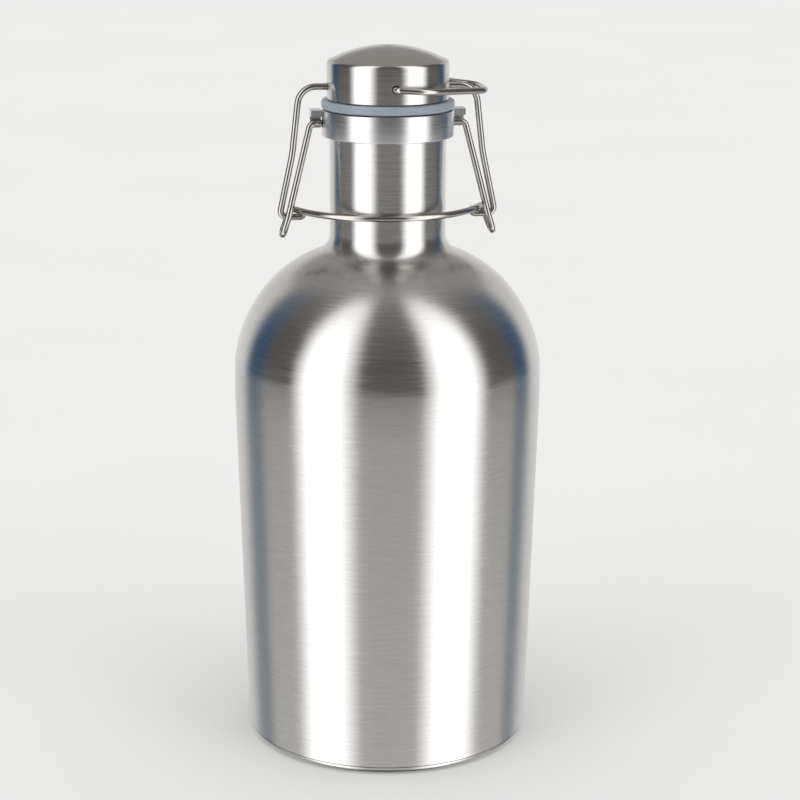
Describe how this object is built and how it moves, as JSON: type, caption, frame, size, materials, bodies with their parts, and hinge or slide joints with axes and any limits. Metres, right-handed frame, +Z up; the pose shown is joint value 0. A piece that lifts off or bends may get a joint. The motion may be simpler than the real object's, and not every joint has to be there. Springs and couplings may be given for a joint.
{
  "type": "growler",
  "caption": "Insulated steel growler with a rounded shoulder, a narrow neck and a swing-top stopper closed by a wire bail and lever.",
  "frame": {"origin": "middle of the foot, on the surface that the growler stands on", "axes": "+Z up along the bottle's axis, +X to the right along the bail's axle, -Y to the front, where the lever's crossbar is"},
  "size_m": [0.1288, 0.1288, 0.294],
  "materials": {
    "brushed_steel": "fine brushing round the axis",
    "drawn_steel": "plain drawn sheet",
    "collar_steel": "satin, turned",
    "wire_steel": "polished wire",
    "silicone": "slightly clear, satin",
    "core_plastic": "moulded",
    "seal_glass": "solder glass",
    "getter_metal": "dull"
  },
  "bodies": {
    "bottle": {"outer_shell": "brushed_steel", "outer_neck": "brushed_steel", "base_cup": "drawn_steel", "base_cover": "brushed_steel", "vacuum_seal": "seal_glass", "vacuum_getter": "getter_metal", "liner_wall": "drawn_steel", "liner_neck": "drawn_steel", "liner_bottom": "drawn_steel", "neck_collar": "collar_steel", "lug_left": "collar_steel", "lug_right": "collar_steel"},
    "lever": {"lever_wire": "wire_steel"},
    "bail": {"bail_wire": "wire_steel"},
    "stopper": {"cap_shell": "brushed_steel", "stopper_core": "core_plastic", "gasket": "silicone", "plug_cup": "drawn_steel"},
    "ring": {"lift_ring": "wire_steel"}
  },
  "joints": [
    {"name": "lever_pivot", "type": "hinge", "parent": "bottle", "child": "lever", "pos_m": [0, 0, 0.2625], "axis": [-1, 0, 0], "range_deg": [0, 100]},
    {"name": "bail_pivot", "type": "hinge", "parent": "lever", "child": "bail", "pos_m": [0, 0, 0.224], "axis": [-1, 0, 0], "range_deg": [-35, 0]},
    {"name": "stopper_tilt", "type": "hinge", "parent": "bail", "child": "stopper", "pos_m": [0, 0, 0.2774], "axis": [-1, 0, 0], "range_deg": [-55, 0]},
    {"name": "ring_swing", "type": "hinge", "parent": "stopper", "child": "ring", "pos_m": [0, 0, 0.2787], "axis": [0, -1, 0], "range_deg": [0, 187]}
  ],
  "couplings": [
    {"joint": "bail_pivot", "follows": "lever_pivot", "ratio": -0.35},
    {"joint": "stopper_tilt", "follows": "lever_pivot", "ratio": -0.55}
  ]
}
